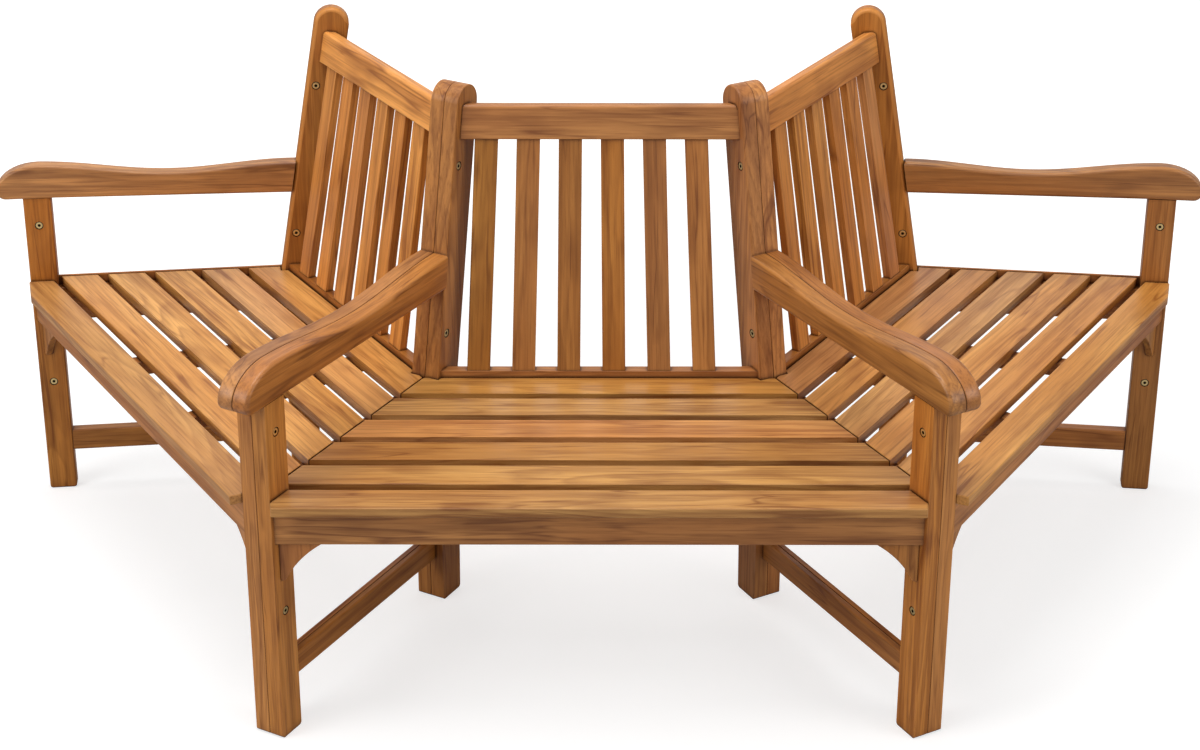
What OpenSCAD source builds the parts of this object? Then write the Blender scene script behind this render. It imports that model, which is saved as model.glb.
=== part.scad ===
// Half tree bench in hardwood: three slatted benches, mitred together on six side frames.
// Millimetres, +Z up, feet on z = 0. The tree stands behind the middle bench, toward +Y.

/* [Layout] */
// Mitre at the joints between the middle bench and the side benches, in degrees
joint_mitre = 29; // [25:0.5:30]
// Mitre at the two free ends, in degrees
end_mitre = 25.4; // [18:0.1:30]
// Distance from the tree's centre to the posts' front faces, square to a bench
post_line = 510; // [450:1:600]
// Height of the top of the seat
seat_h = 414; // [390:1:450]
// Height of the underside of the arms
arm_under = 570; // [540:1:600]
// Height of the tops of the back posts at the two free ends
overall_h = 897; // [850:1:1000]
// How far the joint posts' tops lie below the end posts'
joint_post_drop = 12; // [0:1:20]
// Backward tilt of the back, in degrees
back_tilt = 8.65; // [3:0.05:14]

/* [Legs and posts] */
// Depth of the front legs, front to back
leg_d = 48; // [42:1:60]
// Depth of the back posts from the seat up, front to back
post_d = 60; // [50:1:66]
// Depth of the back posts at their feet
post_foot_d = 52; // [44:1:66]
// How much further forward the free ends' posts stand than the joints'
end_post_out = 6.5; // [0:0.5:10]
// Thickness of the legs and posts
leg_t = 25; // [24:1:34]
// Bevel around the foot of each leg and post
foot_bevel = 3; // [1:0.5:6]

/* [Side rails and stretchers] */
// Height of the side rails
side_rail_h = 62; // [50:1:80]
// Thickness of the side rails
side_rail_t = 20; // [16:1:22]
// Height of the stretchers
stretcher_h = 39; // [30:1:60]
// Thickness of a stretcher, which is halved between the two frames at a joint
stretcher_t = 22; // [20:1:24]
// Height of the stretchers' undersides above the ground
stretcher_z = 76; // [40:1:140]
// Distance of a side rail from its frame's joint face
side_rail_set = 2.5; // [1:0.5:3]
// Thickness of the lip that closes the seat on an end frame's side rail
lip_t = 5; // [3:0.5:6]
// How far that lip stands above the seat
lip_up = 1.5; // [0:0.5:4]

/* [Arms] */
// Width of an arm
arm_w = 28; // [26:1:45]
// Thickness of an arm at the hump over its leg
arm_hump = 61; // [55:1:75]
// Depth of the long hollow in an arm's top
arm_dip = 16; // [5:1:24]
// How far an arm's top falls from the hump to the post
arm_fall = 12; // [0:1:16]
// How far an arm's underside falls from the leg to the post
arm_under_fall = 8; // [0:1:12]
// How far an arm's nose reaches in front of its leg
arm_nose = 43; // [25:1:60]
// How far the top of the hump lies behind the leg's front face
arm_hump_back = 30; // [10:1:60]
// Radius under the nose
arm_nose_r = 15; // [8:1:22]

/* [Seat] */
// Number of slats in a seat, with the front one
seat_slat_n = 6; // [5:1:7]
// Width of a seat slat
seat_slat_w = 57; // [45:1:64]
// Thickness of a seat slat
seat_slat_t = 16; // [14:1:20]
// Gap between seat slats
seat_slat_gap = 17; // [8:1:22]
// Gap between the last seat slat and the rear rail
seat_rear_gap = 1.5; // [1:0.5:6]
// How far the front slat stands out in front of the leg line
seat_nose = 31; // [20:1:40]
// How far the front slat's clipped ends stand in front of the end legs
seat_ear = 2; // [1:0.5:10]
// How far those clipped ends lean back at the nose
seat_clip = 8; // [0:1:15]
// How far the front slat's ends lean back at the nose beside a joint's legs
seat_lean = 2.5; // [0:0.5:6]
// Gap at each seat mitre, from the slats to the joint plane and round the legs
seat_joint_gap = 1; // [0.5:0.25:2]
// Height of the front rail
front_rail_h = 60; // [50:1:80]
// Thickness of the front rail
front_rail_t = 20; // [16:1:24]
// How far the front rail's face stands in front of the leg line
front_rail_out = 6; // [2:1:8]
// Width of a seat bearer
bearer_w = 25; // [18:1:32]
// Height of a seat bearer
bearer_h = 24; // [18:1:40]

/* [Corner brackets] */
// Length of a corner bracket along its rail
bracket_w = 60; // [40:1:80]
// Height of a corner bracket down its leg
bracket_h = 66; // [40:1:90]
// Thickness of a corner bracket
bracket_t = 13; // [8:1:16]
// How far a corner bracket's face lies behind its rail's face
bracket_set = 7; // [2:0.5:7]
// Thickness of a corner bracket's two tips
bracket_tip = 4; // [2:0.5:8]
// Depth of the hollow in a corner bracket's long edge
bracket_hollow = 6; // [2:0.5:10]

/* [Back] */
// Height of the rear rail
rear_rail_h = 60; // [45:1:80]
// Thickness of the rear rail
rear_rail_t = 18; // [16:1:22]
// How far the rear rail stands above the seat
rear_rail_up = 11; // [6:1:30]
// How far the rear rail's face stands in front of the post line
rear_rail_out = 4; // [0:1:6]
// Height of the top rail
top_rail_h = 56; // [45:1:80]
// Thickness of the top rail
top_rail_t = 22; // [18:1:26]
// Radius along the top rail's upper edges
top_rail_r = 6; // [2:0.5:8]
// How far the top rail lies below the tops of the end posts
top_rail_drop = 40; // [20:1:80]
// Number of back slats in a bench
back_slat_n = 6; // [4:1:6]
// Width of a back slat
back_slat_w = 37; // [25:1:42]
// Thickness of a back slat
back_slat_t = 14; // [8:0.5:14]
// Spacing of the middle bench's back slats at the top rail
middle_pitch_top = 66.5; // [55:0.5:70]
// Spacing of the middle bench's back slats at the rear rail
middle_pitch_low = 73; // [55:0.5:80]
// Offset of the middle bench's back slats toward the right
middle_shift = -13; // [-15:0.5:15]
// Spacing of a side bench's back slats at the top rail
side_pitch_top = 62.8; // [50:0.1:65]
// Spacing of a side bench's back slats at the rear rail
side_pitch_low = 68.5; // [50:0.1:75]
// Offset of a side bench's back slats toward the middle bench
side_shift = 10; // [-5:0.5:15]

/* [Joinery] */
// Clearance round tenons, bolts and screws
fit = 0.3; // [0.2:0.05:0.6]
// Depth of the cross rails' tenons in the legs and posts
cross_tenon_l = 11; // [6:0.5:11]
// Shoulder of a tenon on each face of its rail
tenon_face = 5; // [3:0.5:6]
// Shoulder of a tenon at each edge of its rail
tenon_edge = 10; // [6:0.5:14]
// Length of the side rails' and stretchers' tenons
side_tenon_l = 20; // [10:0.5:24]
// Thickness of the side rails' and stretchers' tenons
side_tenon_t = 8; // [6:0.5:9]
// Distance of those tenons from the frame's joint face
side_tenon_set = 4; // [4:0.25:5]
// Thickness of the tenons that hold an arm
arm_tenon_t = 10; // [8:0.5:14]
// Height of the tenon on top of a front leg
leg_tenon_h = 25; // [15:1:32]
// Depth of an arm's tenon in its post
arm_tenon_l = 16; // [10:1:24]
// Depth of the back slats' ends in their rails
slat_housing = 8; // [5:0.5:12]

/* [Bolts and screws] */
// Diameter of a joint bolt
bolt_d = 6; // [5:0.5:7]
// Diameter of a joint nut's sleeve
sleeve_d = 9; // [8.5:0.25:11]
// Diameter of a bolt's or nut's flat head
head_d = 12.5; // [12:0.5:15]
// Thickness of a bolt's or nut's flat head
head_t = 2.5; // [2:0.25:3]
// Depth of a head below the wood's face
head_sink = 0.5; // [0:0.1:1]
// Clearance round a head
head_fit = 1.2; // [0.3:0.1:1.5]
// Distance from a back post's front face to its bolts
post_bolt_set = 17.5; // [15:0.5:25]
// Size of the hexagon socket across its corners
socket_d = 5.2; // [4:0.1:6]
// Height of the lower bolts in the front legs
leg_bolt_low = 216; // [150:1:260]
// Distance from the arms' undersides down to the upper bolts in the front legs
leg_bolt_drop = 51; // [25:1:120]
// Distance from the top of the seat up to the lower bolts in the back posts
post_bolt_rise = 70; // [35:1:100]
// Distance from the tops of the end posts down to the upper bolts in the back posts
post_bolt_drop = 139; // [120:1:190]
// Diameter of a seat screw
screw_d = 4; // [3:0.25:5]
// Diameter of a seat screw's head
screw_head_d = 8; // [6:0.25:10]
// Thickness of a seat screw's head
screw_head_t = 3; // [2:0.25:4]
// Depth of a seat screw in its slat
screw_bite = 10; // [6:0.5:11]

/* [Hidden] */
$fn = 64;
// Longer than anything a cutting shape has to reach
reach = overall_h + post_line;
// Small step that carries a cut past a face
past = 1;
// Angles on the plan between the line across the bench's back and each frame or side bench
joint_angle = 90 - joint_mitre;
side_angle = 90 - 2 * joint_mitre;
end_angle = side_angle - end_mitre;
// Plan lines, all measured from the tree's centre square to a bench
rear_rail_line = post_line + rear_rail_out;
seat_pitch = seat_slat_w + seat_slat_gap;
seat_back_line = rear_rail_line + seat_rear_gap;
seat_front_line = seat_back_line + seat_slat_n * seat_pitch - seat_slat_gap;
leg_line = seat_front_line - seat_nose;
front_rail_line = leg_line + front_rail_out;
front_rail_rear = front_rail_line - front_rail_t;
// Heights
bearing_h = seat_h - seat_slat_t;
front_rail_z = bearing_h - front_rail_h;
rear_rail_top = seat_h + rear_rail_up;
arch_r = post_d / 2;
end_arch_z = overall_h - arch_r;
joint_arch_z = end_arch_z - joint_post_drop;
leg_bolt_high = arm_under - leg_bolt_drop;
post_bolt_low = seat_h + post_bolt_rise;
post_bolt_high = overall_h - post_bolt_drop;
// The top rail's lower and upper edges, measured up the tilted back from the seat's height
top_rail_hi = (overall_h - top_rail_drop - seat_h) / cos(back_tilt);
top_rail_lo = top_rail_hi - top_rail_h;
// The back slats run from the middle of the rear rail to the middle of the top rail
slat_foot_line = rear_rail_line - rear_rail_t / 2;
slat_head_line = post_line - sin(back_tilt) * top_rail_lo - cos(back_tilt) * top_rail_t / 2;
slat_head_z = seat_h + cos(back_tilt) * top_rail_lo - sin(back_tilt) * top_rail_t / 2;
slat_tilt = atan2(slat_foot_line - slat_head_line, slat_head_z - rear_rail_top);
slat_run = norm([slat_foot_line - slat_head_line, slat_head_z - rear_rail_top]);
// Counterbore depth for a bolt's or nut's head
head_recess = head_t + head_sink;
// Wall left between a bolt's end and the bottom of its nut
nut_floor = 1;
thread_fit = fit / 2;
// Seat bearers: share of the way across the bench at the front rail and at the rear rail
side_bearers = [[0.40, 0.54], [0.66, 0.70]];
middle_bearers = [[1 / 3, 1 / 3], [2 / 3, 2 / 3]];

// Radius of the legs' and posts' front faces in a frame's own plane
function leg_front(mitre) = leg_line / cos(mitre);
function post_foot(mitre) = post_line / cos(mitre) + (mitre < joint_mitre ? end_post_out : 0);
// Slope of a back post in its frame's plane
function rake(mitre) = tan(back_tilt) / cos(mitre);
function raked(mitre, across) = across * norm([1, rake(mitre)]);
function post_front(mitre, z) = post_foot(mitre) - rake(mitre) * max(0, z - seat_h);
function post_middle(mitre, z) = post_front(mitre, z) - raked(mitre, post_d / 2);
// Half length of a bench at a plan line, less an offset from the joint plane
function half_length(line, mitre, offset) = line * tan(mitre) - offset / cos(mitre);
function seat_slat_back(i) = seat_back_line + i * seat_pitch;

// Depth of the whole bench, from the foremost arms to the rearmost posts
front_reach = (leg_front(joint_mitre) + arm_nose) * sin(joint_angle) + arm_w * cos(joint_angle);
rear_reach = (post_middle(end_mitre, end_arch_z) - arch_r) * sin(end_angle);
tree_y = (front_reach + rear_reach) / 2;

// Each side frame: name, angle on the plan, faces backward, on the right, mitre, holds nuts,
// height of the middle of its post's arched top, and whether it is a free end
FRAMES = [
    ["left_end", end_angle, false, false, end_mitre, true, end_arch_z, true],
    ["left_inner", joint_angle, true, false, joint_mitre, true, joint_arch_z, false],
    ["centre_left", joint_angle, false, false, joint_mitre, false, joint_arch_z, false],
    ["centre_right", joint_angle, false, true, joint_mitre, false, joint_arch_z, false],
    ["right_inner", joint_angle, true, true, joint_mitre, true, joint_arch_z, false],
    ["right_end", end_angle, false, true, end_mitre, true, end_arch_z, true],
];
FRAME_PARTS = ["front_leg", "back_post", "arm", "side_rail", "stretcher"];

// Each bench: name, angle on the plan, on the right, mitres at its two ends, bearers,
// back slats' spacing at the top and below, their offset, and whether its first end is free
BENCHES = [
    ["left", side_angle, false, [end_mitre, joint_mitre], side_bearers,
        side_pitch_top, side_pitch_low, side_shift, true],
    ["centre", 90, false, [joint_mitre, joint_mitre], middle_bearers,
        middle_pitch_top, middle_pitch_low, middle_shift, false],
    ["right", side_angle, true, [end_mitre, joint_mitre], side_bearers,
        side_pitch_top, side_pitch_low, side_shift, true],
];
BENCH_PARTS = ["front_rail", "rear_rail", "top_rail", "front_slat", "seat_slats",
    "back_slats", "seat_bearers", "corner_brackets", "seat_screws"];
FIXINGS = ["joint_bolts", "joint_nuts", "end_nuts"];

// Placing

module flipped(on, axis) {
    if (on) mirror(axis) children();
    else children();
}

// In a frame, X runs outward from the tree, Y from the joint face into the bench
module place_frame(f) {
    translate([0, tree_y, 0])
        flipped(f[3], [1, 0, 0])
            rotate([0, 0, 180 + f[1]])
                flipped(f[2], [0, 1, 0])
                    children();
}

// In a bench, X runs outward from the tree and Y along the bench toward the middle one
module place_bench(b) {
    translate([0, tree_y, 0])
        flipped(b[2], [1, 0, 0])
            rotate([0, 0, 180 + b[1]])
                children();
}

// Draws in the frames at both ends of a bench, with $mitre set for each
module at_ends(b) {
    for (end = [0, 1]) {
        $mitre = b[3][end];
        rotate([0, 0, end == 0 ? -$mitre : $mitre])
            flipped(end == 1, [0, 1, 0])
                children();
    }
}

// Upright board from a profile in X and Z, thickness along Y
module upright(thickness) {
    translate([0, thickness, 0])
        rotate([90, 0, 0])
            linear_extrude(thickness)
                children();
}

// Board from a profile in Y and Z, thickness along X
module facing(thickness) {
    rotate([90, 0, 90])
        linear_extrude(thickness)
            children();
}

// Side frames

module leg_outline(front) {
    back = front - leg_d;
    polygon([
        [back + foot_bevel, 0], [front - foot_bevel, 0], [front, foot_bevel],
        [front, arm_under], [back, arm_under], [back, foot_bevel]
    ]);
}

module post_outline(mitre, arch_z) {
    front = post_foot(mitre);
    back = front - post_d;
    heel = front - post_foot_d;
    slope = rake(mitre);
    bend_back = seat_h - (raked(mitre, post_d) - post_d) / slope;
    arch = [post_middle(mitre, arch_z), arch_z];
    side = arch_r / norm([1, slope]) * [1, slope];
    union() {
        polygon([
            [heel + foot_bevel, 0], [front - foot_bevel, 0], [front, foot_bevel],
            [front, seat_h], arch + side, arch - side,
            [back, bend_back], [heel, foot_bevel]
        ]);
        translate(arch) circle(arch_r);
    }
}

// Tenon on top of a front leg, from inside the leg, grown by a clearance for its mortise
module leg_tenon(mitre, clear) {
    translate([
        leg_front(mitre) - leg_d + tenon_edge - clear,
        (leg_t - arm_tenon_t) / 2 - clear,
        arm_under - past
    ])
        cube([
            leg_d - 2 * tenon_edge + 2 * clear,
            arm_tenon_t + 2 * clear,
            leg_tenon_h + past + clear
        ]);
}

// Tenon at the rear of an arm, from inside the arm into the post
module arm_tenon(mitre, clear) {
    low = arm_under - arm_under_fall + tenon_edge - clear;
    high = arm_under + arm_hump - arm_fall - tenon_edge + clear;
    deep = arm_tenon_l + clear;
    translate([0, (leg_t - arm_tenon_t) / 2 - clear, 0])
        upright(arm_tenon_t + 2 * clear)
            polygon([
                [post_front(mitre, low) - deep, low], [post_front(mitre, low) + past, low],
                [post_front(mitre, high) + past, high], [post_front(mitre, high) - deep, high]
            ]);
}

// Bar between post and leg, from its lower height, with a length added at each end
module frame_bar(mitre, z, height, thickness, inset, extra, clear) {
    from = post_foot(mitre) - extra - clear;
    to = leg_front(mitre) - leg_d + extra + clear;
    translate([from, inset - clear, z - clear])
        cube([to - from, thickness + 2 * clear, height + 2 * clear]);
}

module side_rail_tenons(mitre, clear) {
    frame_bar(mitre, bearing_h - side_rail_h + tenon_edge, side_rail_h - 2 * tenon_edge,
        side_tenon_t, side_tenon_set, side_tenon_l, clear);
}

// A free end's frame has a whole stretcher in its middle, and a joint's two frames share one
function stretcher_inset(f) = f[7] ? (leg_t - stretcher_t) / 2 : fit;
function stretcher_depth(f) = f[7] ? stretcher_t : stretcher_t / 2 - fit;

module stretcher_tenons(f, clear) {
    frame_bar(f[4], stretcher_z + tenon_edge, stretcher_h - 2 * tenon_edge, side_tenon_t,
        stretcher_inset(f) + (stretcher_depth(f) - side_tenon_t) / 2, side_tenon_l, clear);
}

// Keeps what lies within a depth of a frame's inner face, for a cross rail's mortise
module cross_mortise(mitre) {
    intersection() {
        translate([0, leg_t - cross_tenon_l - fit, 0])
            cube([reach, cross_tenon_l + fit + past, reach]);
        rotate([0, 0, mitre]) children();
    }
}

// Where a frame's bolts go: radius and height
function bolt_places(mitre) = [
    [leg_front(mitre) - leg_d / 2, leg_bolt_low],
    [leg_front(mitre) - leg_d / 2, leg_bolt_high],
    [post_front(mitre, post_bolt_low) - raked(mitre, post_bolt_set), post_bolt_low],
    [post_front(mitre, post_bolt_high) - raked(mitre, post_bolt_set), post_bolt_high],
];

// Cylinder across a frame, from one depth to another
module across(place, from, to, d) {
    translate([place[0], from, place[1]])
        rotate([-90, 0, 0])
            cylinder(d = d, h = to - from);
}

module bolt_bores(f) {
    bore = (f[5] ? sleeve_d : bolt_d) + 2 * fit;
    for (place = bolt_places(f[4])) {
        across(place, -past, leg_t + past, bore);
        across(place, leg_t - head_recess, leg_t + past, head_d + 2 * head_fit);
    }
}

module front_leg(f) {
    mitre = f[4];
    color("peru") place_frame(f) difference() {
        union() {
            upright(leg_t) leg_outline(leg_front(mitre));
            leg_tenon(mitre, 0);
        }
        side_rail_tenons(mitre, fit);
        stretcher_tenons(f, fit);
        cross_mortise(mitre) front_rail_tenon(fit);
        bolt_bores(f);
    }
}

module back_post(f) {
    mitre = f[4];
    color("peru") place_frame(f) difference() {
        upright(leg_t) post_outline(mitre, f[6]);
        side_rail_tenons(mitre, fit);
        stretcher_tenons(f, fit);
        arm_tenon(mitre, fit);
        cross_mortise(mitre) rear_rail_tenon(fit);
        cross_mortise(mitre) top_rail_tenon(fit);
        bolt_bores(f);
    }
}

// Height of an arm's wavy top at a radius, falling toward the post
function arm_top(mitre, r) =
    let (hump = leg_front(mitre) - arm_hump_back)
    let (rear = post_front(mitre, arm_under + arm_hump / 2))
    let (share = (hump - r) / (hump - rear))
    arm_under + arm_hump - arm_dip / 2 * (1 - cos(360 * share)) - arm_fall * share;

module arm_outline(mitre) {
    hump = leg_front(mitre) - arm_hump_back;
    nose = leg_front(mitre) + arm_nose;
    leg_back = leg_front(mitre) - leg_d;
    start = post_front(mitre, arm_under + arm_hump);
    steps = 32;
    difference() {
        polygon(concat(
            [[leg_back, arm_under], [start, arm_under - arm_under_fall]],
            [for (i = [0:steps]) let (r = start + (hump - start) * i / steps) [r, arm_top(mitre, r)]],
            [for (a = [81:-9:0]) [
                hump + (nose - hump) * cos(a),
                arm_under + arm_nose_r + (arm_hump - arm_nose_r) * sin(a)
            ]],
            [for (a = [-15:-15:-90]) [
                nose - arm_nose_r + arm_nose_r * cos(a),
                arm_under + arm_nose_r + arm_nose_r * sin(a)
            ]]
        ));
        polygon([
            [0, seat_h], [post_foot(mitre), seat_h],
            [post_front(mitre, overall_h), overall_h], [0, overall_h]
        ]);
    }
}

module arm(f) {
    mitre = f[4];
    color("burlywood") place_frame(f) {
        difference() {
            upright(arm_w) arm_outline(mitre);
            leg_tenon(mitre, fit);
        }
        arm_tenon(mitre, 0);
    }
}

module side_rail(f) {
    color("peru") place_frame(f) {
        frame_bar(f[4], bearing_h - side_rail_h, side_rail_h, side_rail_t, side_rail_set, 0, 0);
        if (f[7])
            frame_bar(f[4], bearing_h - past, seat_slat_t + lip_up + past,
                lip_t, side_rail_set, 0, 0);
        side_rail_tenons(f[4], 0);
    }
}

module stretcher(f) {
    color("peru") place_frame(f) {
        frame_bar(f[4], stretcher_z, stretcher_h, stretcher_depth(f), stretcher_inset(f), 0, 0);
        stretcher_tenons(f, 0);
    }
}

// Cross rails, drawn along a bench and longer than it

module long_bar(rear_line, front_line, z_low, z_high) {
    translate([rear_line, -reach / 2, z_low])
        cube([front_line - rear_line, reach, z_high - z_low]);
}

module front_rail_tenon(clear) {
    long_bar(front_rail_rear + tenon_face - clear, front_rail_line - tenon_face + clear,
        front_rail_z + tenon_edge - clear, bearing_h - tenon_edge + clear);
}

module rear_rail_tenon(clear) {
    long_bar(rear_rail_line - rear_rail_t + tenon_face - clear,
        rear_rail_line - tenon_face + clear,
        rear_rail_top - rear_rail_h + tenon_edge - clear, rear_rail_top - tenon_edge + clear);
}

// In the back's tilted plane, X is square to the back and Z runs up it from the seat's height
module on_back() {
    translate([post_line, 0, seat_h])
        rotate([0, -back_tilt, 0])
            children();
}

module top_rail_tenon(clear) {
    on_back()
        long_bar(tenon_face - top_rail_t - clear, clear - tenon_face,
            top_rail_lo + tenon_edge - clear, top_rail_hi - tenon_edge + clear);
}

// The plan of a bench between its two ends, less an offset from each joint plane
module bench_span(b, offset, first = 0) {
    near = post_line / 2;
    far = seat_front_line + past;
    intersection() {
        linear_extrude(overall_h)
            polygon([
                [near, -half_length(near, b[3][0], offset + first)],
                [far, -half_length(far, b[3][0], offset + first)],
                [far, half_length(far, b[3][1], offset)],
                [near, half_length(near, b[3][1], offset)]
            ]);
        children();
    }
}

// Back slats, in the plane of their own tilt: Y along the bench, Z up from the rear rail's top

module on_slats() {
    translate([slat_foot_line, 0, rear_rail_top])
        rotate([0, -slat_tilt, 0])
            translate([-back_slat_t / 2, 0, 0])
                children();
}

// One back slat, reaching past both rails' edges by an end length
module back_slat(b, i, end, clear) {
    step = i - (back_slat_n - 1) / 2;
    foot = b[7] + step * b[6];
    head = b[7] + step * b[5];
    lean = (head - foot) / slat_run;
    half = back_slat_w / 2 + clear;
    on_slats()
        translate([-clear, 0, 0])
            facing(back_slat_t + 2 * clear)
                polygon([
                    [foot - end * lean - half, -end], [foot - end * lean + half, -end],
                    [head + end * lean + half, slat_run + end],
                    [head + end * lean - half, slat_run + end]
                ]);
}

module back_slats(b) {
    color("burlywood") place_bench(b)
        for (i = [0:back_slat_n - 1]) back_slat(b, i, slat_housing, 0);
}

module front_rail(b) {
    color("peru") place_bench(b) {
        bench_span(b, leg_t)
            long_bar(front_rail_rear, front_rail_line, front_rail_z, bearing_h);
        bench_span(b, leg_t - cross_tenon_l) front_rail_tenon(0);
    }
}

module rear_rail(b) {
    color("peru") place_bench(b) difference() {
        union() {
            bench_span(b, leg_t)
                long_bar(rear_rail_line - rear_rail_t, rear_rail_line,
                    rear_rail_top - rear_rail_h, rear_rail_top);
            bench_span(b, leg_t - cross_tenon_l) rear_rail_tenon(0);
        }
        for (i = [0:back_slat_n - 1]) back_slat(b, i, slat_housing + fit, fit);
    }
}

// Section of the top rail, with its front face on X = 0 and rounded upper edges
module top_rail_section() {
    translate([-top_rail_t, 0])
        union() {
            translate([0, top_rail_lo]) square([top_rail_t, top_rail_h - top_rail_r]);
            translate([top_rail_r, top_rail_lo])
                square([top_rail_t - 2 * top_rail_r, top_rail_h]);
            for (x = [top_rail_r, top_rail_t - top_rail_r])
                translate([x, top_rail_hi - top_rail_r]) circle(top_rail_r);
        }
}

module top_rail(b) {
    color("burlywood") place_bench(b) difference() {
        union() {
            bench_span(b, leg_t)
                on_back()
                    translate([0, reach / 2, 0])
                        rotate([90, 0, 0])
                            linear_extrude(reach)
                                top_rail_section();
            bench_span(b, leg_t - cross_tenon_l) top_rail_tenon(0);
        }
        for (i = [0:back_slat_n - 1]) back_slat(b, i, slat_housing + fit, fit);
    }
}

// Seat

// Space that the seat slats leave round a leg and a post
module leg_room(mitre) {
    for (side = [[leg_front(mitre), leg_d], [post_foot(mitre), post_d]])
        translate([side[0] - side[1] - seat_joint_gap, -past, 0])
            cube([side[1] + 2 * seat_joint_gap, leg_t + seat_joint_gap + past, seat_h + past]);
}

function bearer_y(b, i, line) =
    let (share = b[4][i])
    let (rear = bench_y(b, share[1], rear_rail_line))
    let (front = bench_y(b, share[0], front_rail_rear))
    rear + (front - rear) * (line - rear_rail_line) / (front_rail_rear - rear_rail_line);

function bench_y(b, share, line) =
    line * (share * (tan(b[3][0]) + tan(b[3][1])) - tan(b[3][0]));

// A seat slat's screw, from the bearer's underside up into the slat
module seat_screw(b, bearer, i, clear) {
    line = seat_slat_back(i) + seat_slat_w / 2;
    translate([line, bearer_y(b, bearer, line), bearing_h - bearer_h]) {
        translate([0, 0, -clear])
            cylinder(d = screw_d + 2 * clear, h = bearer_h + screw_bite + 2 * clear);
        translate([0, 0, -clear])
            cylinder(d = screw_head_d + 2 * clear, h = screw_head_t + clear);
    }
}

module all_seat_screws(b, clear) {
    for (bearer = [0, 1], i = [0:seat_slat_n - 2]) seat_screw(b, bearer, i, clear);
}

module seat_slats(b) {
    color("burlywood") place_bench(b) difference() {
        bench_span(b, seat_joint_gap, b[8] ? side_rail_set + lip_t : 0)
            for (i = [0:seat_slat_n - 2])
                long_bar(seat_slat_back(i), seat_slat_back(i) + seat_slat_w, bearing_h, seat_h);
        at_ends(b) leg_room($mitre);
        all_seat_screws(b, fit);
    }
}

// The front slat's end behind and in front of its leg, as lines across the bench and half
// lengths along it: nearly square across at a joint, clipped along the leg's front at a free end
function front_slat_end(mitre, free) =
    let (rear = seat_front_line - seat_slat_w)
    let (r = leg_front(mitre) + (free ? seat_ear : 0))
    let (s = leg_t + fit)
    let (corner = r * sin(mitre) - s * cos(mitre))
    let (lean = (r - seat_clip - seat_front_line * cos(mitre)) / sin(mitre))
    let (nose = free ? lean : corner - seat_lean)
    [
        [rear, half_length(rear, mitre, s)], [r * cos(mitre) + s * sin(mitre), corner],
        [seat_front_line, nose]
    ];

module front_slat(b) {
    first = front_slat_end(b[3][0], b[8]);
    last = front_slat_end(b[3][1], false);
    color("burlywood") place_bench(b)
        translate([0, 0, bearing_h])
            linear_extrude(seat_slat_t)
                polygon([
                    [first[0][0], -first[0][1]], [first[1][0], -first[1][1]],
                    [first[2][0], -first[2][1]], last[2], last[1], last[0]
                ]);
}

module seat_bearers(b) {
    color("peru") place_bench(b) difference() {
        translate([0, 0, bearing_h - bearer_h])
            linear_extrude(bearer_h)
                for (i = [0, 1]) {
                    rear = bearer_y(b, i, rear_rail_line);
                    front = bearer_y(b, i, front_rail_rear);
                    half = bearer_w / 2;
                    polygon([
                        [rear_rail_line, rear - half], [front_rail_rear, front - half],
                        [front_rail_rear, front + half], [rear_rail_line, rear + half]
                    ]);
                }
        all_seat_screws(b, fit);
    }
}

module seat_screws(b) {
    color("silver") place_bench(b) all_seat_screws(b, 0);
}

// Bracket outline with a hollow long edge, from the rail's underside and the leg's inner face
module bracket_outline() {
    run = [bracket_tip - bracket_w, bracket_tip - bracket_h];
    square_on = [run[1], -run[0]] / norm(run);
    steps = 12;
    polygon(concat(
        [[-bracket_w, 0], [bracket_w, 0]],
        [for (i = [0:steps]) let (share = i / steps)
            [bracket_w, -bracket_tip] + share * run
                + 4 * bracket_hollow * share * (1 - share) * square_on],
        [[-bracket_w, -bracket_h]]
    ));
}

module corner_brackets(b) {
    line = front_rail_line - bracket_set;
    color("peru") place_bench(b) at_ends(b) intersection() {
        translate([0, leg_t, 0]) cube([reach, reach, reach]);
        rotate([0, 0, $mitre])
            translate([
                line - bracket_t,
                -half_length(line - bracket_t / 2, $mitre, leg_t),
                front_rail_z
            ])
                facing(bracket_t) bracket_outline();
    }
}

// Fixings, drawn in their own frames

module hex_socket(place) {
    translate([place[0], leg_t - head_sink - head_t / 2, place[1]])
        rotate([-90, 0, 0])
            cylinder(d = socket_d, h = head_t, $fn = 6);
}

module bolts_in(f) {
    tip = -(leg_t - head_recess - 2 * nut_floor);
    place_frame(f)
        for (place = bolt_places(f[4])) difference() {
            union() {
                across(place, leg_t - head_recess, leg_t - head_sink, head_d);
                across(place, tip, leg_t - head_recess + head_t / 4, bolt_d);
            }
            hex_socket(place);
        }
}

module nuts_in(f) {
    place_frame(f)
        for (place = bolt_places(f[4])) difference() {
            union() {
                across(place, leg_t - head_recess, leg_t - head_sink, head_d);
                across(place, fit, leg_t - head_recess + head_t / 4, sleeve_d);
            }
            across(place, fit - past, leg_t - head_recess - nut_floor, bolt_d + 2 * thread_fit);
            hex_socket(place);
        }
}

module joint_bolts() {
    color("gold") for (f = [FRAMES[2], FRAMES[3]]) bolts_in(f);
}

module joint_nuts() {
    color("gold") for (f = [FRAMES[1], FRAMES[4]]) nuts_in(f);
}

module end_nuts() {
    color("gold") for (f = [FRAMES[0], FRAMES[5]]) nuts_in(f);
}

for (f = FRAMES) {
    front_leg(f);
    back_post(f);
    arm(f);
    side_rail(f);
    stretcher(f);
}
for (b = BENCHES) {
    front_rail(b);
    rear_rail(b);
    top_rail(b);
    front_slat(b);
    seat_slats(b);
    back_slats(b);
    seat_bearers(b);
    corner_brackets(b);
    seat_screws(b);
}
joint_bolts();
joint_nuts();
end_nuts();
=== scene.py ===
import math
import random

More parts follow.
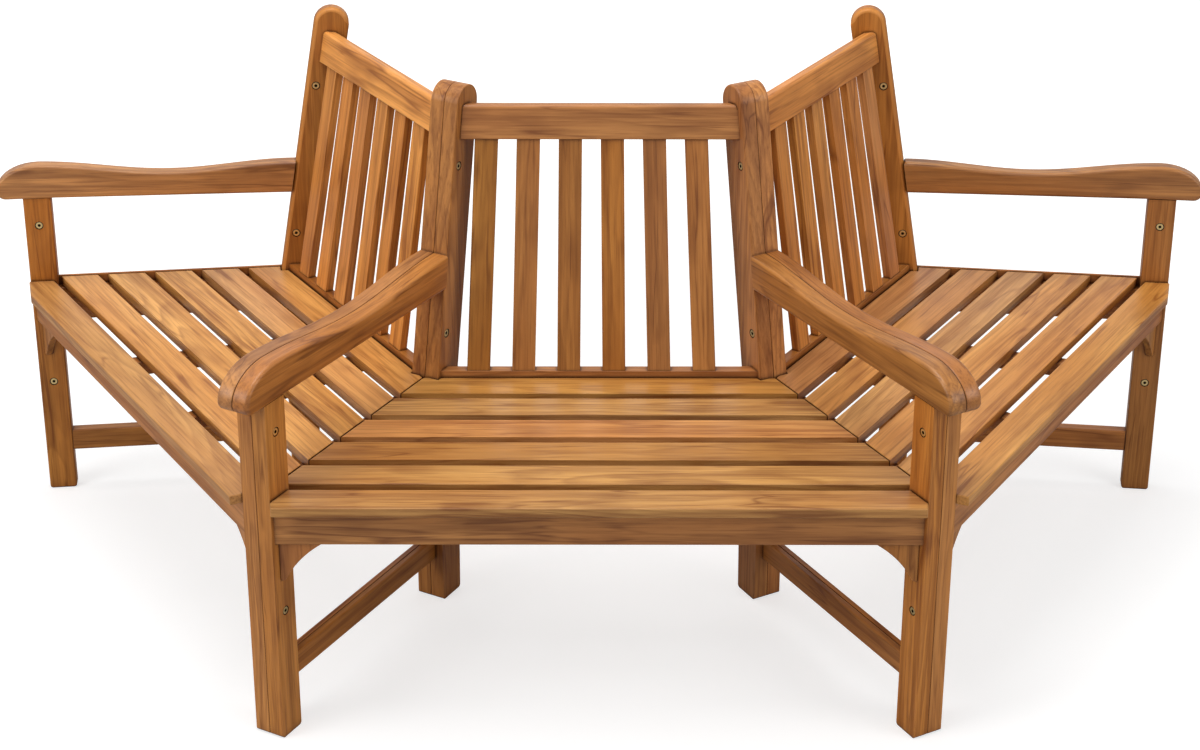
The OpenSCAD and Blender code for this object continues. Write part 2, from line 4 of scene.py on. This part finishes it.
import bmesh
import bpy
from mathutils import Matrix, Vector
from mathutils.bvhtree import BVHTree


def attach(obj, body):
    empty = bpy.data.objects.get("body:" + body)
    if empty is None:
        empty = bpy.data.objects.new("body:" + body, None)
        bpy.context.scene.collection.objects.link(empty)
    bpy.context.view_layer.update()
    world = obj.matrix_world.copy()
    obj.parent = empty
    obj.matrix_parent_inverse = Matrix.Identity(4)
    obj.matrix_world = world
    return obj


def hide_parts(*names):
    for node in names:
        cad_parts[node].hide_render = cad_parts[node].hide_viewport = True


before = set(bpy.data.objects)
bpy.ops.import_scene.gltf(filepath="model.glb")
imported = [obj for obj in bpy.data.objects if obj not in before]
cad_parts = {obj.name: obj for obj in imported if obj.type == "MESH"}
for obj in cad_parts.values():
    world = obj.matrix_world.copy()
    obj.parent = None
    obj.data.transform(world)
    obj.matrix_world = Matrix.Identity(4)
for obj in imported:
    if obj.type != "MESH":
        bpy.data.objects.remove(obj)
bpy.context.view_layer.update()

# Half tree bench in oiled hardwood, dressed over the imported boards. Metres, +Z up.
BODY = "root"

# Camera, fitted to the photograph's edges. Angles in degrees
FOCAL_MM = 74.61
SENSOR_MM = 36.0
CAMERA_PLACE = (0.0, -3.6137, 2.2192)
CAMERA_DOWN = 23.178
CAMERA_ROLL = 0.074
CAMERA_SHIFT = (0.0004, -0.1218)

# Lights: place, width and watts, all turned to one point
LIGHTS = {
    "top": ((-0.5, -0.1, 3.9), 3.0, 102),
    "left": ((-3.4, -1.9, 2.3), 2.2, 60),
    "right": ((3.4, -1.9, 2.3), 2.2, 48),
    "front": ((0.0, -4.6, 1.6), 2.6, 8),
}
LIT_POINT = (0, 0, 0.4)
WHITE = (1, 1, 1, 1)
# Strength of the sky on what isn't seen directly
SKY = 0.30
# The floor's colour, and what lifts it to white in view, from near the bench to far from it
FLOOR_GREY = (0.50, 0.50, 0.50, 1)
FLOOR_ROUGH = 0.9
FLOOR_LIFT = 0.62
FLOOR_NEAR = 1.2
FLOOR_FAR = 2.7
FLOOR_HALF = 30.0
FLOOR_DROP = 0.0005

# Rounding of each kind of board's edges, and how many steps it takes
ROUNDING = {
    "front_leg": (0.0030, 3),
    "back_post": (0.0035, 3),
    "arm": (0.0060, 4),
    "side_rail": (0.0020, 2),
    "stretcher": (0.0030, 3),
    "front_rail": (0.0020, 2),
    "rear_rail": (0.0020, 2),
    "top_rail": (0.0020, 2),
    "front_slat": (0.0022, 3),
    "seat_slats": (0.0018, 2),
    "back_slats": (0.0020, 2),
    "seat_bearers": (0.0015, 1),
    "corner_brackets": (0.0020, 2),
    "bolts": (0.0005, 2),
    "nuts": (0.0005, 2),
    "screws": (0.0004, 1),
}
# Frames that stand against each other at a joint, and the rounding of their meeting edges
PARTNERS = {
    "left_inner": "centre_left", "centre_left": "left_inner",
    "right_inner": "centre_right", "centre_right": "right_inner",
}
MEETING_WIDTH = 0.0013
MEETING_ARM_WIDTH = 0.0022
MEETING_STEPS = 2
# The end posts' front edge and arch have a flat chamfer on their inner side
CHAMFERED_KIND = "_end_back_post"
CHAMFER_WIDTH = 0.0070
CHAMFER_STEPS = 1
# Where the right end post's inner side and its front look, and how far up its arch looks
POST_INNER = (-0.115, -0.993, 0.0)
POST_FRONT = (0.993, -0.115, 0.0)
ARCH_RISE = 0.2
# An edge is rounded where it turns enough and both its faces look out of their board
ROUND_ANGLE = math.radians(25)
CLEAR_VIEW = 0.040
VIEW_START = 1e-5
# How alike two ways have to be, as a cosine, to count as the same or about the same
ALIKE = 0.97
HALFWAY = 0.8
# Vertices nearer than this are one, and faces that turn less than this are one
MERGE = 1e-5
FLAT_ANGLE = math.radians(0.4)
# Shares of a rounding's width, tried in turn until little of the board is twisted, as it may
# be beside a mortise: triangles that are less alike to their face than this, and their area
SHARES = (1.0, 0.8, 0.5)
TWIST = 0.7
TWIST_LIMIT = 60e-6
LEAST_TURN = 1e-9
# How alike two faces' normals have to be to share one, and how little a rounded face weighs
FLAT_REACH = math.cos(math.radians(25))
ROUNDED_REACH = math.cos(math.radians(65))
ROUNDED_WEIGHT = 1e-6

# How light single boards are, rear ones first, from 0 to 1 for the usual range. Partly each
# board's
# own tone, partly painted light: side benches' boards, their top rails and the joint legs are
# lighter
BOARD_TONES_AND_LIGHT = {
    "centre_seat_slats": (0.5, 0.3, 1.2, 0.0, 0.4),
    "centre_front_slat": (0.2,),
    "left_seat_slats": (1.1, 1.3, 0.9, 1.4, 1.2),
    "right_seat_slats": (0.9, 1.2, 0.7, 1.1, 1.0),
    "left_back_slats": (1.7, 2.0, 1.5, 1.9, 1.6, 1.8),
    "right_back_slats": (1.6, 1.9, 1.4, 1.8, 1.5, 1.7),
    "centre_back_slats": (-0.2, 0.1, -0.4, 0.0, -0.3, -0.1),
    "left_top_rail": (2.6,),
    "right_top_rail": (1.9,),
    "centre_top_rail": (0.1,),
    "centre_corner_brackets": (0.7,),
    "left_inner_front_leg": (1.2,),
    "centre_left_front_leg": (1.2,),
    "centre_right_front_leg": (1.1,),
    "right_inner_front_leg": (1.1,),
    "left_end_front_leg": (1.0,),
    "centre_front_rail": (0.6,),
}
# Kinds whose grain is upright, whichever edge is their longest
UPRIGHT_KINDS = ("front_leg", "back_post")
UP = (0, 0, 1)
# Where a board was in its log: along it, across it and away from its heart
LOG_RANGES = ((-9, 9), (-0.09, 0.09), (0.03, 0.14))
# A board's edges or faces that differ by less than this are equals, and the one that looks
# most along this way is taken, so that every run lays the grain alike
EQUAL_LENGTH = 5e-6
EQUAL_AREA = 1e-7
CHOICE_WAY = Vector((0.37, -0.61, 0.70))

# The record's material slot of each kind of board that isn't the frame's
FRAME_SLOT = "frame_wood"
SLOTS = {
    "arm": "arm_wood", "front_slat": "seat_wood", "seat_slats": "seat_wood",
    "top_rail": "back_wood", "back_slats": "back_wood",
    "bolts": "fixings", "nuts": "fixings", "screws": "screws",
}
# Each slot's wood: its three colours, roughness and specular level
WOODS = {
    "frame_wood": {
        "light": (0.56, 0.225, 0.050), "middle": (0.43, 0.148, 0.027),
        "dark": (0.16, 0.042, 0.007), "rough": 0.40, "shine": 0.28,
    },
    "arm_wood": {
        "light": (0.54, 0.224, 0.058), "middle": (0.42, 0.150, 0.033),
        "dark": (0.14, 0.040, 0.008), "rough": 0.38, "shine": 0.42,
    },
    "seat_wood": {
        "light": (0.66, 0.325, 0.092), "middle": (0.52, 0.215, 0.050),
        "dark": (0.21, 0.062, 0.012), "rough": 0.36, "shine": 0.28,
    },
    "back_wood": {
        "light": (0.60, 0.255, 0.058), "middle": (0.47, 0.170, 0.033),
        "dark": (0.18, 0.050, 0.009), "rough": 0.40, "shine": 0.28,
    },
}
# Each slot's metal: name, colour and roughness
METALS = {
    "fixings": ("brass", (0.80, 0.60, 0.28), 0.34),
    "screws": ("steel", (0.62, 0.61, 0.59), 0.38),
}

# Noise in the wood: its share of length along the board, scale, detail, roughness, distortion
PATTERNS = {
    "broad": (0.16, 9.0, 3.0, 0.55, 0.0),
    "ring_strength": (0.16, 9.0, 2.0, 0.5, 0.0),
    "cloud": (0.35, 22.0, 2.0, 0.5, 0.0),
    "streak": (0.03, 62.0, 4.0, 0.62, 0.0),
    "line": (0.03, 260.0, 3.0, 0.6, 0.0),
    "bend": (0.07, 30.0, 2.0, 0.5, 0.6),
    "pores": (0.03, 800.0, 2.0, 0.7, 0.0),
}
# Where a pattern begins and is full, and how dark it is then
DARKENING = {
    "cloud": (0.52, 0.74, 0.45),
    "streak": (0.47, 0.76, 0.78),
    "line": (0.50, 0.74, 0.6),
    "pores": (0.56, 0.8, 0.3),
}
LIGHT_RANGE = (0.36, 0.62)
# Knots: share of length, scale, how rare they are, how wide, and how they push the rings
KNOT_LENGTH = 0.55
KNOT_SCALE = 7.0
KNOT_RARITY = 0.84
KNOT_RANGE = (0.01, 0.045)
KNOT_DARKNESS = 0.8
KNOT_COLOUR = 0.5
PUSH_RANGE = (0.0, 0.26)
PUSH = 0.022
# Growth rings: how they wander along the board, how close they are, and their late wood
WANDER = {"Scale": 7.0, "Detail": 2.5, "Roughness": 0.5}
WANDER_LENGTH = 0.16
WANDER_WIDTH = 0.13
RINGS_PER_METRE = 95.0
RING_END = 0.16
RING_RANGE = (0.36, 0.66)
RING_DARKNESS = 0.46
# Thin dark veins, along the middle value of a bent noise and only within some clouds
VEIN_RANGE = (0.94, 0.995)
VEIN_CLOUDS = (0.42, 0.60)
VEIN_DARKNESS = 0.75
# What a board's three random numbers do; a listed board's first is set instead, with painted
# light in it
VALUE_RANGE = (0.86, 1.12)
HUE_RANGE = (0.4985, 0.5035)
SATURATION_RANGE = (0.95, 1.02)
# Painted highlight on the end posts' chamfer: how strong, and its colour beside the light
# colour
CHAMFER_HIGHLIGHT_STRENGTH = 0.55
CHAMFER_HIGHLIGHT_COLOUR = 1.25
# Relief of pores, streaks and rings, and roughness from smooth to rough streaks
PORE_RELIEF = 0.5
STREAK_RELIEF = 0.5
RING_RELIEF = 0.3
WOOD_BUMP = {"Strength": 0.4, "Distance": 0.0005}
GLOSS_RANGE = (0.3, 0.8)
WOOD_SMOOTHER = 0.06
WOOD_ROUGHER = 0.12
# Painted shade in crevices: how far each looks, how open it is where it is darkest
# and where it is clear, and the share of the dark colour in it
CREVICE_SHADE_SAMPLES = 4
CREVICE_SHADES = (
    (0.035, 0.10, 0.62, 0.9),
    (0.010, 0.20, 0.66, 0.45),
    (0.0045, 0.45, 0.92, 0.35),
)

# Metal: scratches and tarnish, and painted shade round a head's rim, in its socket and beside
# it
SCRATCH = (900.0, 3.0, 0.6)
SCRATCH_RANGE = (0.3, 0.7)
METAL_SMOOTHER = 0.08
METAL_ROUGHER = 0.1
METAL_BUMP = {"Strength": 0.15, "Distance": 0.0003}
TARNISH = (160.0, 3.0, 0.6)
TARNISH_RANGE = (0.4, 0.7)
TARNISH_STRENGTH = 0.5
TARNISH_COLOUR = 0.55
RIM_SHADE_RANGE = (0.0053, 0.0061)
RIM_SHADE_STRENGTH = 0.85
RIM_SHADE_COLOUR = 0.10
SOCKET_SHADE_RANGE = (0.0024, 0.0030)
SOCKET_SHADE_COLOUR = 0.01
METAL_CREVICE_SHADE = (0.006, 0.45, 0.95)
METAL_CREVICE_SHADE_COLOUR = 0.05


def add_object(name, data):
    made = bpy.data.objects.new(name, data)
    bpy.context.scene.collection.objects.link(made)
    return made


def kind_of(node):
    return next(kind for kind in ROUNDING if node.endswith("_" + kind))


# Rounding

def looks_out(face, tree):
    start = face.calc_center_median() + face.normal * VIEW_START
    return tree.ray_cast(start, face.normal, CLEAR_VIEW)[0] is None


def sharp_edges(bm, open_face):
    return [
        e for e in bm.edges
        if e.is_manifold
        and e.calc_face_angle_signed() > ROUND_ANGLE
        and all(open_face[f] for f in e.link_faces)
    ]


# Whether an edge lies between the inner side and either the front or the arch
def has_chamfer(edge, inner, front):
    one, two = (f.normal for f in edge.link_faces)
    return any(
        a.dot(inner) > ALIKE and (b.dot(front) > HALFWAY or b.z > ARCH_RISE)
        for a, b in ((one, two), (two, one))
    )


def bevel(bm, edges, width, steps):
    edges = [e for e in edges if e.is_valid]
    if not edges:
        return set()
    made = bmesh.ops.bevel(
        bm, geom=edges, offset=width, offset_type="OFFSET", segments=steps,
        profile=0.5, affect="EDGES", clamp_overlap=False,
    )
    bm.normal_update()
    return set(made["faces"])


# Rounds a board's outer edges, those on its meeting side only a little
def round_edges(bm, width, steps, meeting, meeting_width, post_sides):
    bm.normal_update()
    tree = BVHTree.FromBMesh(bm)
    open_face = {f: looks_out(f, tree) for f in bm.faces}
    chosen = sharp_edges(bm, open_face)
    chamfered = [e for e in chosen if post_sides and has_chamfer(e, *post_sides)]
    chosen = [e for e in chosen if e not in chamfered]
    near = [
        e for e in chosen
        if meeting and any(f.normal.dot(meeting) > ALIKE for f in e.link_faces)
    ]
    ends = {v for e in near for v in e.verts}
    joined = [e for e in chosen if e not in near and ends.intersection(e.verts)]
    rest = [e for e in chosen if e not in near and not ends.intersection(e.verts)]
    rounded = bevel(bm, near + joined, meeting_width, MEETING_STEPS)
    cut = bevel(bm, chamfered, CHAMFER_WIDTH, CHAMFER_STEPS)
    # The chamfer's faces are marked for a painted highlight
    pale = bm.faces.layers.float["pale"]
    for face in cut:
        face[pale] = 1.0
    rounded |= cut
    rounded |= bevel(bm, rest, width, steps)
    return {f for f in rounded if f.is_valid}


# Area of the triangles that face another way than the face they belong to
def twisted(bm):
    total = 0.0
    for loops in bm.calc_loop_triangles():
        a, b, c = (loop.vert.co for loop in loops)
        turn = (b - a).cross(c - a)
        if turn.length > LEAST_TURN and turn.normalized().dot(loops[0].face.normal) < TWIST:
            total += turn.length / 2
    return total


def flat_board(source):
    bm = bmesh.new()
    bm.from_mesh(source.data)
    bm.faces.layers.float.new("pale")
    bmesh.ops.remove_doubles(bm, verts=bm.verts, dist=MERGE)
    bmesh.ops.dissolve_limit(
        bm, angle_limit=FLAT_ANGLE, use_dissolve_boundaries=False,
        verts=bm.verts, edges=bm.edges,
    )
    return bm


# The board at the first share of its rounding that lies well, or else at the best of them
def rounded_board(source, rounding, meeting, meeting_width, post_sides):
    width, steps = rounding
    best = None
    for share in SHARES:
        bm = flat_board(source)
        rounded = round_edges(bm, width * share, steps, meeting, meeting_width, post_sides)
        fault = twisted(bm)
        if best is None or fault < best[0]:
            if best:
                best[1].free()
            best = (fault, bm, rounded)
        else:
            bm.free()
        if best[0] < TWIST_LIMIT:
            break
    return best[1], best[2]


# The way from a board to the one it stands against at a joint
def meeting_side(node):
    for frame_name, partner in PARTNERS.items():
        if node.startswith(frame_name + "_"):
            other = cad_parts.get(partner + node[len(frame_name):])
            if other is None:
                return None
            centres = [
                sum((Vector(c) for c in o.bound_box), Vector()) / len(o.bound_box)
                for o in (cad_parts[node], other)
            ]
            away = centres[1] - centres[0]
            away.z = 0
            return away.normalized()
    return None


# Where an end post's inner side and its front look. The left post mirrors the right one
def post_ways(node):
    if not node.endswith(CHAMFERED_KIND):
        return None
    mirror = -1 if node.startswith("left") else 1
    return [Vector((mirror * x, y, z)) for x, y, z in (POST_INNER, POST_FRONT)]


# Flat faces keep their own normals, and the rounding turns from one to the next
def set_normals(bm, mesh, rounded):
    area = {f: f.calc_area() * (ROUNDED_WEIGHT if f in rounded else 1.0) for f in bm.faces}
    normals = []
    for face in bm.faces:
        least = ROUNDED_REACH if face in rounded else FLAT_REACH
        for loop in face.loops:
            total = Vector()
            for other in loop.vert.link_faces:
                if other.normal.dot(face.normal) > least:
                    total += other.normal * area[other]
            normals.append(total.normalized() if total.length > 0 else face.normal.copy())
    mesh.normals_split_custom_set(normals)


# Grain

# Each board of a node, as the set of its faces
def islands(bm):
    bm.faces.ensure_lookup_table()
    left = set(bm.faces)
    while left:
        seed = min(left, key=lambda f: f.index)
        group, front = {seed}, [seed]
        left.discard(seed)
        while front:
            face = front.pop()
            for e in face.edges:
                for other in e.link_faces:
                    if other in left:
                        left.discard(other)
                        group.add(other)
                        front.append(other)
        yield group


def edge_way(edge):
    way = (edge.verts[1].co - edge.verts[0].co).normalized()
    return -way if max(way, key=abs) < 0 else way


# The way of the one with the greatest measure, or of its equal that looks most along CHOICE_WAY
def greatest(items, measure, slack, way):
    most = max(measure(item) for item in items)
    equals = [way(item) for item in items if measure(item) > most - slack]
    return max(equals, key=CHOICE_WAY.dot)


# Each board's own axes go into an attribute, so that the grain runs along it
def lay_grain(bm, kind, rng, turned, tones_and_light):
    grain = bm.verts.layers.float_vector.new("grain")
    board = bm.verts.layers.float_vector.new("board")
    bm.verts.index_update()
    groups = list(islands(bm))
    if tones_and_light:
        groups.sort(key=lambda group: -max(v.co.y for f in group for v in f.verts))
    for rank, group in enumerate(groups):
        edges = {e for f in group for e in f.edges}
        along = greatest(edges, lambda e: e.calc_length(), EQUAL_LENGTH, edge_way)
        if kind in UPRIGHT_KINDS:
            along = Vector(UP)
        broad = greatest(group, lambda f: f.calc_area(), EQUAL_AREA, lambda f: f.normal)
        through = (broad - along * broad.dot(along)).normalized()
        across = along.cross(through)
        shift = Vector([rng.uniform(*reach) for reach in LOG_RANGES])
        tone = Vector((rng.random(), rng.random(), rng.random()))
        if turned:
            shift = Vector()
        # A listed board's lightness, which holds painted light for the side benches and joint
        # legs
        if tones_and_light:
            tone.x = tones_and_light[min(rank, len(tones_and_light) - 1)]
        verts = sorted({v for f in group for v in f.verts}, key=lambda v: v.index)
        middle = sum((v.co for v in verts), Vector()) / len(verts)
        for v in verts:
            p = v.co - middle
            v[grain] = Vector((p.dot(along), p.dot(across), p.dot(through))) + shift
            v[board] = tone


# Faces in an order that is the same in every run. The rounded ones are found again by their tag
def settle(bm, rounded):
    for face in bm.faces:
        face.tag = face in rounded
    ranked = sorted(bm.faces, key=lambda f: sorted(v.index for v in f.verts))
    for rank, face in enumerate(ranked):
        face.index = rank
    bm.faces.sort()
    return {f for f in bm.faces if f.tag}


def dress(node, materials):
    kind = kind_of(node)
    slot = SLOTS.get(kind, FRAME_SLOT)
    turned = slot in METALS
    meeting_width = MEETING_ARM_WIDTH if kind == "arm" else MEETING_WIDTH
    bm, rounded = rounded_board(
        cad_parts[node], ROUNDING[kind], meeting_side(node), meeting_width, post_ways(node)
    )
    lay_grain(bm, kind, random.Random(node), turned, BOARD_TONES_AND_LIGHT.get(node))
    rounded = settle(bm, rounded)
    name = node + ("_metal" if turned else "_wood")
    mesh = bpy.data.meshes.new(name)
    bm.to_mesh(mesh)
    mesh.shade_smooth()
    set_normals(bm, mesh, rounded)
    bm.free()
    mesh.materials.append(materials[slot])
    piece = add_object(name, mesh)
    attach(piece, BODY)
    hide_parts(node)


# Materials

# Builds a tree of nodes. A value is a constant, or a socket to link
class Graph:
    def __init__(self, tree):
        self.tree = tree
        tree.nodes.clear()

    def node(self, kind, values=None, **settings):
        made = self.tree.nodes.new("ShaderNode" + kind)
        for key, value in settings.items():
            setattr(made, key, value)
        for key, value in (values or {}).items():
            self.put(made, key, value)
        return made

    def put(self, made, key, value):
        socket = made.inputs[key]
        if isinstance(value, bpy.types.NodeSocket):
            self.tree.links.new(value, socket)
        else:
            socket.default_value = value

    def math(self, operation, a, b=0.0, c=0.0):
        return self.node("Math", {0: a, 1: b, 2: c}, operation=operation).outputs[0]

    def vector(self, operation, a, b):
        return self.node("VectorMath", {0: a, 1: b}, operation=operation).outputs[0]

    def length(self, a):
        return self.node("VectorMath", {0: a}, operation="LENGTH").outputs["Value"]

    def attribute(self, name, output="Vector"):
        return self.node("Attribute", attribute_name=name).outputs[output]

    def noise(self, vector, scale, detail, rough, distort=0.0):
        made = self.node(
            "TexNoise",
            {"Vector": vector, "Scale": scale, "Detail": detail,
             "Roughness": rough, "Distortion": distort},
        )
        return made.outputs["Fac"]

    def ramp(self, value, low, high, to_low=0.0, to_high=1.0, clamp=True):
        made = self.node(
            "MapRange",
            {"Value": value, "From Min": low, "From Max": high,
             "To Min": to_low, "To Max": to_high},
            clamp=clamp,
        )
        return made.outputs["Result"]

    def mix(self, factor, a, b):
        made = self.node("Mix", data_type="RGBA")
        self.put(made, 0, factor)
        for key, value in ((6, a), (7, b)):
            self.put(made, key, value if not isinstance(value, tuple) else (*value, 1.0))
        return made.outputs[2]


def new_material(name):
    material = bpy.data.materials.new(name)
    material.use_nodes = True
    return material, Graph(material.node_tree)


def times(colour, share):
    return tuple(share * c for c in colour)


def stretched(g, place, share):
    return g.vector("MULTIPLY", place, (share, 1.0, 1.0))


# Distance from the axis of a board's log, or of a head
def radius_of(g, place):
    return g.length(g.vector("MULTIPLY", place, (0.0, 1.0, 1.0)))


# Painted shade that gathers in joints, bores and narrow gaps: 0 where it does and 1 in the open
def crevice_shade(g, reach, low, high):
    near = g.node("AmbientOcclusion", {"Distance": reach}, samples=CREVICE_SHADE_SAMPLES)
    return g.ramp(near.outputs["AO"], low, high)


# A few cells of a stretched cell pattern: how near each is, and its own dark spot
def knots(g, place):
    cells = g.node(
        "TexVoronoi", {"Vector": stretched(g, place, KNOT_LENGTH), "Scale": KNOT_SCALE},
    )
    cell = g.node("SeparateColor", {0: cells.outputs["Color"]}).outputs[0]
    chosen = g.math("GREATER_THAN", cell, KNOT_RARITY)
    return [
        g.math("MULTIPLY", g.ramp(cells.outputs["Distance"], *reach, 1.0, 0.0), chosen)
        for reach in (PUSH_RANGE, KNOT_RANGE)
    ]


# Growth rings round a heart beside the board, wandering along it and pushed aside by knots
def growth_rings(g, place, near_knot, strength):
    wander = g.node("TexNoise", {"Vector": stretched(g, place, WANDER_LENGTH), **WANDER})
    drift = g.vector("SUBTRACT", wander.outputs["Color"], (0.5, 0.5, 0.5))
    drift = g.vector("MULTIPLY", drift, (0.0, WANDER_WIDTH, WANDER_WIDTH))
    radius = radius_of(g, g.vector("ADD", place, drift))
    push = g.math("MULTIPLY", g.math("POWER", near_knot, 2.0), PUSH)
    ring = g.math("FRACT", g.math("MULTIPLY", g.math("ADD", radius, push), RINGS_PER_METRE))
    late = g.math("POWER", ring, 2.0)
    late = g.math("MAXIMUM", late, g.ramp(ring, 0.0, RING_END, 1.0, 0.0))
    return g.math("MULTIPLY", late, g.ramp(strength, *RING_RANGE))


def veins(g, bend, cloud):
    vein = g.math("ABSOLUTE", g.math("MULTIPLY_ADD", bend, 2.0, -1.0))
    vein = g.math("SUBTRACT", 1.0, vein)
    return g.math("MULTIPLY", g.ramp(vein, *VEIN_RANGE), g.ramp(cloud, *VEIN_CLOUDS))


def wood(name, light, middle, dark, rough, shine):
    material, g = new_material(name)
    place = g.attribute("grain")
    figure = {
        key: g.noise(stretched(g, place, share), *settings)
        for key, (share, *settings) in PATTERNS.items()
    }
    near_knot, knot = knots(g, place)
    rings = growth_rings(g, place, near_knot, figure["ring_strength"])
    vein = veins(g, figure["bend"], figure["cloud"])
    darkness = {
        key: g.ramp(figure[key], begins, full, 0.0, strength)
        for key, (begins, full, strength) in DARKENING.items()
    }
    darkness["rings"] = g.math("MULTIPLY", rings, RING_DARKNESS)
    darkness["vein"] = g.math("MULTIPLY", vein, VEIN_DARKNESS)
    colour = g.mix(g.ramp(figure["broad"], *LIGHT_RANGE), middle, light)
    for key in ("cloud", "streak", "rings", "line", "vein", "pores"):
        colour = g.mix(darkness[key], colour, dark)
    colour = g.mix(g.math("MULTIPLY", knot, KNOT_DARKNESS), colour, times(dark, KNOT_COLOUR))
    tones_and_light = g.node("SeparateXYZ", {0: g.attribute("board")}).outputs
    shade = g.node(
        "HueSaturation",
        {"Color": colour,
         "Hue": g.ramp(tones_and_light[1], 0.0, 1.0, *HUE_RANGE),
         "Saturation": g.ramp(tones_and_light[2], 0.0, 1.0, *SATURATION_RANGE),
         "Value": g.ramp(tones_and_light[0], 0.0, 1.0, *VALUE_RANGE, clamp=False)},
    ).outputs["Color"]
    # Painted highlight on the chamfer, lighter than the light colour
    pale = g.attribute("pale", "Fac")
    shade = g.mix(g.math("MULTIPLY", pale, CHAMFER_HIGHLIGHT_STRENGTH), shade, times(light, CHAMFER_HIGHLIGHT_COLOUR))
    # Painted shade in crevices, kept off the chamfer's painted highlight
    for reach, low, high, depth in CREVICE_SHADES:
        clear = g.math("MAXIMUM", crevice_shade(g, reach, low, high), pale)
        shade = g.mix(clear, times(dark, depth), shade)
    relief = g.math(
        "ADD",
        g.math("MULTIPLY", figure["pores"], PORE_RELIEF),
        g.math("MULTIPLY", figure["streak"], STREAK_RELIEF),
    )
    relief = g.math("SUBTRACT", relief, g.math("MULTIPLY", rings, RING_RELIEF))
    bump = g.node("Bump", {"Height": relief, **WOOD_BUMP})
    gloss = g.ramp(figure["streak"], *GLOSS_RANGE, rough - WOOD_SMOOTHER, rough + WOOD_ROUGHER)
    shader = g.node(
        "BsdfPrincipled",
        {"Base Color": shade, "Roughness": gloss, "Normal": bump.outputs["Normal"],
         "Specular IOR Level": shine},
    )
    g.node("OutputMaterial", {0: shader.outputs[0]})
    return material


def metal(name, colour, rough):
    material, g = new_material(name)
    place = g.node("TexCoord").outputs["Object"]
    scratch = g.noise(place, *SCRATCH)
    tarnish = g.ramp(g.noise(place, *TARNISH), *TARNISH_RANGE, 0.0, TARNISH_STRENGTH)
    shade = g.mix(tarnish, colour, times(colour, TARNISH_COLOUR))
    radius = radius_of(g, g.attribute("grain"))
    # Painted shade: a dark ring round a head's rim and a nearly black socket
    rim_shade = g.ramp(radius, *RIM_SHADE_RANGE, 0.0, RIM_SHADE_STRENGTH)
    shade = g.mix(rim_shade, shade, times(colour, RIM_SHADE_COLOUR))
    socket = g.ramp(radius, *SOCKET_SHADE_RANGE, 1.0, 0.0)
    shade = g.mix(socket, shade, times(colour, SOCKET_SHADE_COLOUR))
    # Painted shade where the metal lies in a crevice
    shade = g.mix(crevice_shade(g, *METAL_CREVICE_SHADE), times(colour, METAL_CREVICE_SHADE_COLOUR), shade)
    bump = g.node("Bump", {"Height": scratch, **METAL_BUMP})
    gloss = g.ramp(scratch, *SCRATCH_RANGE, rough - METAL_SMOOTHER, rough + METAL_ROUGHER)
    shader = g.node(
        "BsdfPrincipled",
        {"Base Color": shade, "Metallic": 1.0, "Roughness": gloss,
         "Normal": bump.outputs["Normal"]},
    )
    g.node("OutputMaterial", {0: shader.outputs[0]})
    return material


# Floor, sky, lights and camera

def shadow_floor():
    corners = [
        (x * FLOOR_HALF, y * FLOOR_HALF, 0) for x, y in ((-1, -1), (1, -1), (1, 1), (-1, 1))
    ]
    mesh = bpy.data.meshes.new("floor")
    mesh.from_pydata(corners, [], [(0, 1, 2, 3)])
    floor = add_object("floor", mesh)
    floor.location.z = -FLOOR_DROP
    material, g = new_material("floor")
    shader = g.node("BsdfPrincipled", {"Base Color": FLOOR_GREY, "Roughness": FLOOR_ROUGH})
    seen = g.node("LightPath").outputs["Is Camera Ray"]
    away = g.length(g.node("TexCoord").outputs["Object"])
    strength = g.ramp(away, FLOOR_NEAR, FLOOR_FAR, FLOOR_LIFT, 1.0)
    lift = g.node("Emission", {"Color": WHITE, "Strength": g.math("MULTIPLY", seen, strength)})
    both = g.node("AddShader", {0: shader.outputs[0], 1: lift.outputs[0]})
    g.node("OutputMaterial", {0: both.outputs[0]})
    mesh.materials.append(material)


# White where it is seen, in a reflection too, and dimmer as a light
def studio_sky():
    world = bpy.data.worlds.new("studio")
    bpy.context.scene.world = world
    world.use_nodes = True
    g = Graph(world.node_tree)
    rays = g.node("LightPath").outputs
    seen = rays["Is Camera Ray"]
    for ray in ("Is Glossy Ray", "Is Transmission Ray"):
        seen = g.math("MAXIMUM", seen, rays[ray])
    strength = g.math("MULTIPLY_ADD", seen, 1 - SKY, SKY)
    sky = g.node("Background", {"Color": WHITE, "Strength": strength})
    g.node("OutputWorld", {0: sky.outputs[0]})


def area_light(name, place, size, watts):
    data = bpy.data.lights.new(name, "AREA")
    data.shape = "DISK"
    data.size = size
    data.energy = watts
    lamp = add_object(name, data)
    lamp.location = place
    aim = Vector(LIT_POINT) - Vector(place)
    lamp.rotation_euler = aim.to_track_quat("-Z", "Y").to_euler()


def photo_camera():
    data = bpy.data.cameras.new("camera")
    data.sensor_width = SENSOR_MM
    data.lens = FOCAL_MM
    data.shift_x, data.shift_y = CAMERA_SHIFT
    camera = add_object("camera", data)
    camera.location = CAMERA_PLACE
    camera.rotation_mode = "XYZ"
    camera.rotation_euler = (math.radians(90 - CAMERA_DOWN), 0, 0)
    camera.rotation_euler.rotate_axis("Z", math.radians(CAMERA_ROLL))
    bpy.context.scene.camera = camera


materials = {slot: wood(slot, **look) for slot, look in WOODS.items()}
for slot, look in METALS.items():
    materials[slot] = metal(*look)
for node in sorted(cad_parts):
    dress(node, materials)
shadow_floor()
studio_sky()
for name, (place, size, watts) in LIGHTS.items():
    area_light(name, place, size, watts)
photo_camera()
bpy.context.scene.view_settings.view_transform = "Standard"
